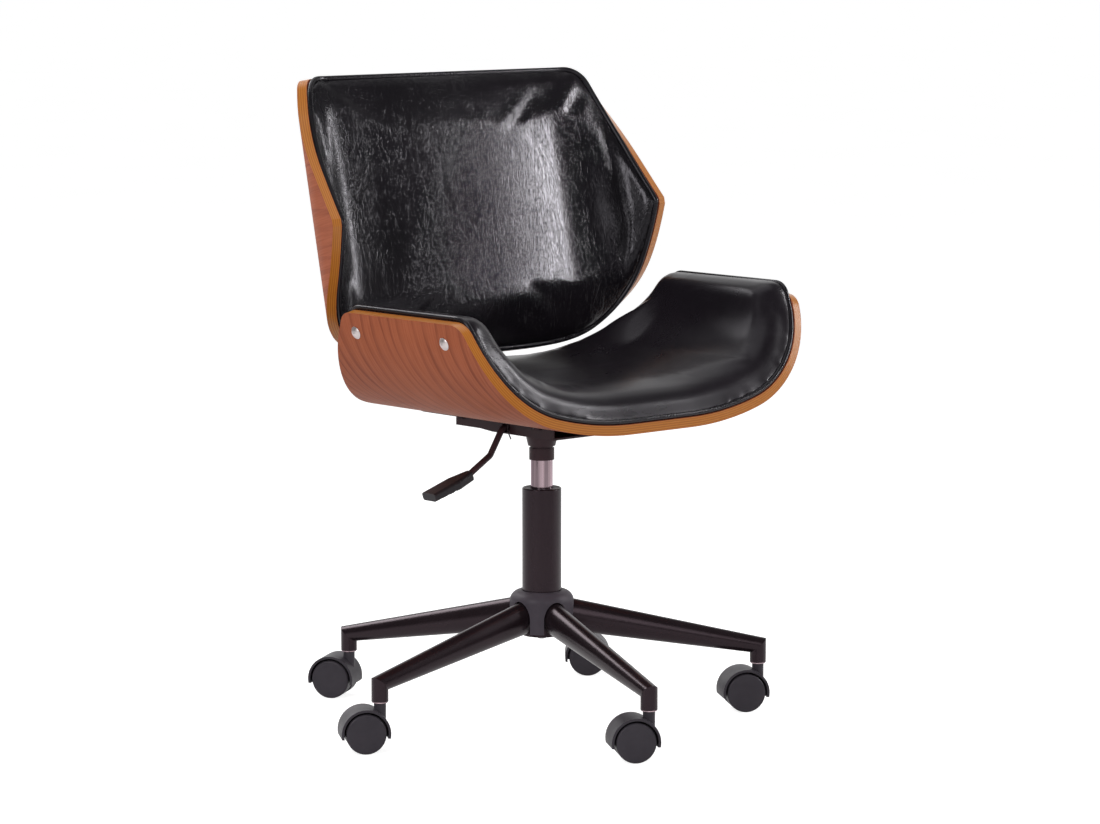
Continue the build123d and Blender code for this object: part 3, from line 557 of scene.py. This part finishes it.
skinLooks = {
    "base_metal": {"colour": (0.0095, 0.0060, 0.0075), "second": (0.0125, 0.0080, 0.0098), "rough": (0.23, 0.26),
                   "patch": 18.0, "peel": 1100.0, "relief": 0.06, "specular": 0.36, "sheen": (1.0, 0.76, 0.87)},
    "cover_plastic": {"colour": (0.048, 0.040, 0.051), "second": (0.058, 0.049, 0.061), "rough": (0.44, 0.54),
                      "patch": 30.0, "peel": 1500.0, "relief": 0.10, "specular": 0.25},
    "caster_plastic": {"colour": (0.0330, 0.0290, 0.0360), "second": (0.0410, 0.0360, 0.0440), "rough": (0.36, 0.46),
                       "patch": 40.0, "peel": 1600.0, "relief": 0.08, "specular": 0.25},
    "steel": {"colour": (0.36, 0.35, 0.36), "second": (0.48, 0.47, 0.47), "rough": (0.28, 0.42), "patch": 60.0,
              "peel": 900.0, "relief": 0.05, "metal": 1.0},
    # chrome: dark and bright colours drawn into vertical streaks by the stretch, a painted reflection of a dark room
    # and bright strips
    "chrome": {"colour": (0.17, 0.125, 0.140), "second": (0.62, 0.465, 0.510), "rough": (0.12, 0.20), "patch": 75.0,
               "peel": 700.0, "relief": 0.02, "metal": 1.0, "stretch": (1, 1, 0.02)},
    "mechanism_paint": {"colour": (0.0330, 0.0150, 0.0180), "second": (0.0430, 0.0205, 0.0240), "rough": (0.34, 0.46),
                        "patch": 22.0, "peel": 1000.0, "relief": 0.08, "specular": 0.25},
    "grip": {"colour": (0.0150, 0.0135, 0.0155), "second": (0.0200, 0.0180, 0.0205), "rough": (0.36, 0.46),
             "patch": 60.0, "peel": 1500.0, "relief": 0.10, "specular": 0.30},
    "cap": {"colour": (0.60, 0.53, 0.52), "second": (0.70, 0.63, 0.62), "rough": (0.30, 0.42), "patch": 90.0,
            "peel": 900.0, "relief": 0.04, "metal": 1.0},
    "board": {"colour": (0.52, 0.36, 0.21), "second": (0.46, 0.30, 0.17), "rough": (0.55, 0.7), "patch": 30.0,
              "peel": 500.0, "relief": 0.2, "stretch": (0.1, 1, 1)},
}
finishes = {slot: skinFinish(slot, look) for slot, look in skinLooks.items()}
finishes["padding"] = leatherFinish("padding", {**leatherLook, "dull": 0.05})
seatWood = walnutFinish("walnut seat", walnutLook, seatForm, True)
backWood = walnutFinish("walnut back", backWalnutLook, backForm, False)
seatLeather = leatherFinish("seat leather", seatLeatherLook)

ownFinish = {
    "seat_shell": seatWood, "back_shell": backWood, "wing_screws": finishes["cap"], "lever_grip": finishes["grip"],
    "lever_clip": finishes["mechanism_paint"], "mechanism_bolts": finishes["mechanism_paint"],
}
slotOf = {row["node"]: row["material_slot"] for row in frame["record"]["subparts"]}
for name, node in nodes.items():
    finish = ownFinish.get(name) or finishes[slotOf[name]]
    node.data.materials.clear()
    node.data.materials.append(finish)
print("finishes on:", len(nodes), "nodes")


# pads
def newPiece(name, mesh, body, finish):
    piece = bpy.data.objects.new(name, mesh)
    scene.collection.objects.link(piece)
    mesh.materials.clear()
    mesh.materials.append(finish)
    for face in mesh.polygons:
        face.use_smooth = True
    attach(piece, body)
    return piece


def evaluatedMesh(piece):
    return bpy.data.meshes.new_from_object(piece.evaluated_get(bpy.context.evaluated_depsgraph_get()))


def cushionMesh(name, outline, place, swell, look):
    # a grid wrapped round the outline, twice: the crowned face and the flat foot, joined at the rim
    count, rings = len(outline), look["rings"]
    border = inset(outline, look["inset"])
    centre, bulge = Vector(look["centre"]), look["bulge"]
    bm = bmesh.new()
    for top in (True, False):
        made = bmesh.ops.create_grid(bm, x_segments=count, y_segments=rings, size=0.5)
        for vert in made["verts"]:
            spoke = round((vert.co.x + 0.5) * count) % count
            share = vert.co.y + 0.5                       # 0 at the rim, 1 in the middle
            rim = border[spoke]
            along = (border[(spoke + 1) % count] - border[spoke - 1]).normalized()
            depth = share ** look["gather"]
            spot = rim.lerp(centre, depth)
            rise = 0.0
            if top:
                inward = depth * abs(Vector((-along.y, along.x)).dot(centre - rim))
                front = max(along.x, 0.0) ** 2 * max(1 - (spot.x / look["frontHalf"]) ** 2, 0.0)
                turned = look["round"] + (look["roundSide"] - look["round"]) * along.y ** 2
                turned += (look["roundFront"] - look["round"]) * front
                near = min(inward / turned, 1.0)
                rise = look["thick"] * (1 - (1 - near) ** bulge) ** (1 / bulge) + swell(spot, inward)
            vert.co = place(spot.x, spot.y, look["foot"] + rise)
    bmesh.ops.remove_doubles(bm, verts=bm.verts, dist=look["merge"])
    bmesh.ops.recalc_face_normals(bm, faces=bm.faces)
    mesh = bpy.data.meshes.new(name)
    bm.to_mesh(mesh)
    bm.free()
    return mesh


def inflated(mesh, liftOf, look):
    # remeshed, swollen by air pressure with the foot held, and kept near the cut shape
    work = bpy.data.objects.new("work", mesh)
    scene.collection.objects.link(work)
    remesh = work.modifiers.new("remesh", "REMESH")
    remesh.mode = "VOXEL"
    remesh.voxel_size = look["voxel"]
    held = evaluatedMesh(work)
    work.modifiers.clear()
    work.data = held
    rest = [v.co.copy() for v in held.vertices]
    group = work.vertex_groups.new(name="foot")
    group.add([k for k, co in enumerate(rest) if liftOf(co) < look["footDepth"]], 1.0, "REPLACE")
    cloth = work.modifiers.new("cloth", "CLOTH")
    cloth.settings.quality = look["quality"]
    cloth.settings.mass = look["mass"]
    cloth.settings.tension_stiffness = look["stiff"]
    cloth.settings.compression_stiffness = look["stiff"]
    cloth.settings.bending_stiffness = look["bending"]
    cloth.settings.use_pressure = True
    cloth.settings.uniform_pressure_force = look["pressure"]
    cloth.settings.vertex_group_mass = "foot"
    cloth.settings.effector_weights.gravity = 0
    cloth.collision_settings.use_collision = False
    cloth.point_cache.frame_start, cloth.point_cache.frame_end = 1, look["frames"]
    for step in range(1, look["frames"] + 1):
        scene.frame_set(step)
    swollen = evaluatedMesh(work)
    for vert, start in zip(swollen.vertices, rest):
        move = vert.co - start
        if move.length > look["cap"]:
            vert.co = start + move.normalized() * look["cap"]
    work.modifiers.clear()
    work.data = swollen
    scene.frame_set(1)
    smooth = work.modifiers.new("smooth", "SMOOTH")
    smooth.factor, smooth.iterations = 0.5, look["smooth"]
    finer = work.modifiers.new("finer", "SUBSURF")
    finer.levels = finer.render_levels = 1
    done = evaluatedMesh(work)
    bpy.data.objects.remove(work)
    return done


cushionLook = {
    "inset": 0.0014, "foot": 0.0004, "round": 0.018, "rings": 40, "gather": 1.6, "bulge": 2.2, "frontHalf": 0.27,
    "merge": 0.00005, "footDepth": 0.0035, "pressure": 4.0, "stiff": 12.0, "bending": 1.5, "mass": 0.3, "quality": 5,
    "frames": 20, "cap": 0.004,
}
seatCushionLook = {
    **cushionLook, "centre": (0, -0.01), "thick": 0.037, "roundSide": 0.034, "roundFront": 0.048, "voxel": 0.0052,
    "smooth": 4, "fill": 0.75, "crown": 0.003, "ease": 0.07,
    "bridge": 0.016, "bend": 0.255, "reach": 0.130, "rearFrom": 0.015, "rearOver": 0.08,
}
backCushionLook = {
    **cushionLook, "centre": (0, 0.135), "thick": 0.012, "roundSide": 0.022, "roundFront": 0.024, "voxel": 0.0050,
    "smooth": 8, "fill": 0.7, "barrel": 0.018, "flat": 0.232, "turn": 0.200, "ease": 0.105,
    "foam": (0.004, 0.016), "bend": 0.240, "reach": 0.095,
}


def seatLift(co):  # height above the shell's upper face
    return flattened(abs(co.x), co.z - seatForm["under"], seatForm["curve"])[1] - seatForm["ply"]


def backLift(co):
    lean = backForm["lean"]
    rise = (co.z - backForm["z"]) * sin(lean) - (co.y - backForm["y"]) * cos(lean)
    return flattened(abs(co.x), rise, backForm["curve"])[1]


def eased(share):
    return 1 - (1 - min(max(share, 0.0), 1.0)) ** 3


def hump(side, look):  # 1 over the bend, 0 at its reach
    return cos(pi / 2 * min(abs(side - look["bend"]) / look["reach"], 1.0)) ** 2


def seatSwell(spot, inward):  # a low crown, and foam that bridges the bend at the rear
    look = seatCushionLook
    fill = hump(abs(spot.x), look) * eased((spot.y - look["rearFrom"]) / look["rearOver"])
    return (look["crown"] + look["bridge"] * fill) * eased(inward / look["ease"])


def backSwell(spot, inward):  # a barrel across the back that runs out in the bends
    look = backCushionLook
    full, turn = look["flat"] ** 2, look["turn"]
    foam = look["foam"][0 if spot.x < 0 else 1]
    side = abs(spot.x)
    end = full / turn
    barrel = 1 - side ** 2 / full if side < turn else turn / (full * (end - turn)) * max(end - side, 0.0) ** 2
    return (look["barrel"] * barrel + foam * hump(side, look)) * eased(inward / look["ease"])


seatOver, backOver = (0.006, 0.0140), 0.003               # pads past the wood at the wings' tops and the back's top
padPoints, weltPoints = 240, 420
seatPad = cushionMesh("seatCushion", seatOutline(padPoints, seatOver), seatPoint, seatSwell, seatCushionLook)
seatCushion = newPiece("seatCushion", inflated(seatPad, seatLift, seatCushionLook), "seat", seatLeather)
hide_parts("seat_pad")
print("seat cushion:", len(seatCushion.data.polygons), "faces")
backPad = cushionMesh("backCushion", backOutline(padPoints, backOver), backPoint, backSwell, backCushionLook)
backLeather = finishes["padding"]
backCushion = newPiece("backCushion", inflated(backPad, backLift, backCushionLook), "seat", backLeather)
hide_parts("back_pad")
print("back cushion:", len(backCushion.data.polygons), "faces")


# welts: a covered cord sewn in along each rim
weltLook = {"radius": 0.0033, "inset": 0.0032, "lift": 0.0037, "around": 5}
weltLeatherLook = {
    **leatherLook, "crush": 120.0, "grain": 600.0, "stretch": (1, 1, 1), "relief": 0.2, "rough": (0.22, 0.30),
}


def weltMesh(name, outline, place, look):
    line = bpy.data.curves.new(name, "CURVE")
    line.dimensions = "3D"
    line.bevel_depth = look["radius"]
    line.bevel_resolution = look["around"]
    path = line.splines.new("POLY")
    spots = [place(p.x, p.y, look["lift"]) for p in inset(outline, look["inset"])]
    path.points.add(len(spots) - 1)
    for point, spot in zip(path.points, spots):
        point.co = (*spot, 1)
    path.use_cyclic_u = True
    holder = bpy.data.objects.new("work", line)
    scene.collection.objects.link(holder)
    mesh = evaluatedMesh(holder)
    bpy.data.objects.remove(holder)
    return mesh


weltFinish = leatherFinish("welt", weltLeatherLook)
seatWelt = weltMesh("seatWelt", seatOutline(weltPoints, seatOver), seatPoint, weltLook)
backWelt = weltMesh("backWelt", backOutline(weltPoints, backOver), backPoint, weltLook)
newPiece("seatWelt", seatWelt, "seat", weltFinish)
newPiece("backWelt", backWelt, "seat", weltFinish)
print("welts sewn on")


# stage
stageLook = {
    "floor": 40.0, "paper": (0.55, 0.55, 0.55), "fibre": (0.57, 0.57, 0.57), "patch": 3.0, "rough": 0.9,
    "seen": 0.80, "mirrored": 0.30,
}


def paperFinish(look):
    finish, tree, shader, place = newFinish("paper")
    colour = tint(tree, mottleShade(tree, place, look["patch"]), look["paper"], look["fibre"])
    feed(tree, shader.inputs["Base Color"], colour)
    shader.inputs["Roughness"].default_value = look["rough"]
    shader.inputs["Specular IOR Level"].default_value = 0.0
    ray, mirrored = rays(tree)
    glow = addNode(tree, "ShaderNodeEmission")
    strength = plus(tree, times(tree, ray["Is Camera Ray"], look["seen"]), times(tree, mirrored, look["mirrored"]))
    feed(tree, glow.inputs["Strength"], strength)
    both = addNode(tree, "ShaderNodeAddShader")
    tree.links.new(shader.outputs[0], both.inputs[0])
    tree.links.new(glow.outputs[0], both.inputs[1])
    tree.links.new(both.outputs[0], tree.nodes["Material Output"].inputs["Surface"])
    return finish


floorMesh = bpy.data.meshes.new("floor")
bm = bmesh.new()
bmesh.ops.create_grid(bm, x_segments=1, y_segments=1, size=stageLook["floor"])
bm.to_mesh(floorMesh)
bm.free()
floorMesh.materials.append(paperFinish(stageLook))
floor = bpy.data.objects.new("floor", floorMesh)
scene.collection.objects.link(floor)

world = bpy.data.worlds.new("studio")
scene.world = world
world.use_nodes = True
sky = world.node_tree
skyLook = {  # white behind the chair, a darker room in front of it
    "fill": 0.36, "behind": (0.667, 0.745, 0.0), "edge": (0.45, 0.95), "dim": 0.10,
}
ray, mirrored = rays(sky)
facing = addNode(sky, "ShaderNodeVectorMath", operation="DOT_PRODUCT")
feed(sky, facing.inputs[0], addNode(sky, "ShaderNodeTexCoord").outputs["Generated"])
facing.inputs[1].default_value = skyLook["behind"]
room = span(sky, between(sky, facing.outputs["Value"], *skyLook["edge"]), skyLook["dim"], 1.0)
unseen = pick(sky, mirrored, skyLook["fill"], room)
backdrop = sky.nodes["Background"]
backdrop.inputs["Color"].default_value = (1, 1, 1, 1)
feed(sky, backdrop.inputs["Strength"], pick(sky, ray["Is Camera Ray"], unseen, 1.0))

lamps = [  # name, place, size, watts, roll
    ("right softbox", (1.72, -1.04, 1.20), (0.13, 1.2), 23.0, radians(-18)),
    ("left softbox", (-2.4, -0.6, 1.5), (1.0, 1.4), 28.0, 0.0),
    ("front softbox", (-0.76, -2.49, 1.15), (1.2, 1.2), 11.0, 0.0),
    ("top softbox", (0.1, 0.4, 2.7), (2.2, 2.2), 16.0, 0.0),
    ("rear softbox", (-0.5, 1.9, 1.9), (1.4, 1.2), 34.0, 0.0),
]
aim = Vector((0, 0, 0.5))
for name, spot, size, watts, roll in lamps:
    lamp = bpy.data.lights.new(name, "AREA")
    lamp.shape = "RECTANGLE"
    lamp.size, lamp.size_y = size
    lamp.energy = watts
    holder = bpy.data.objects.new(name, lamp)
    scene.collection.objects.link(holder)
    holder.location = spot
    turned = (aim - Vector(spot)).to_track_quat("-Z", "Y") @ Quaternion((0, 0, 1), roll)
    holder.rotation_euler = turned.to_euler()

# camera, for a frame of 1100 by 824
view = {
    "azimuth": radians(41.8), "far": 4.8, "height": 1.027, "pitch": 0.13235, "yaw": -0.00219,
    "focal": 3816.3, "width": 1100.0, "low": 4.2, "sensor": 36.0,
}
eye = bpy.data.cameras.new("camera")
eye.sensor_width = view["sensor"]
eye.lens = view["focal"] / view["width"] * eye.sensor_width
eye.shift_y = view["low"] / view["width"]
camera = bpy.data.objects.new("camera", eye)
scene.collection.objects.link(camera)
camera.location = (-view["far"] * sin(view["azimuth"]), -view["far"] * cos(view["azimuth"]), view["height"])
camera.rotation_euler = (pi / 2 - view["pitch"], 0, -(view["azimuth"] - view["yaw"]))
scene.camera = camera
scene.view_settings.view_transform = "Standard"
print("stage, lamps and camera set")

bpy.context.view_layer.update()
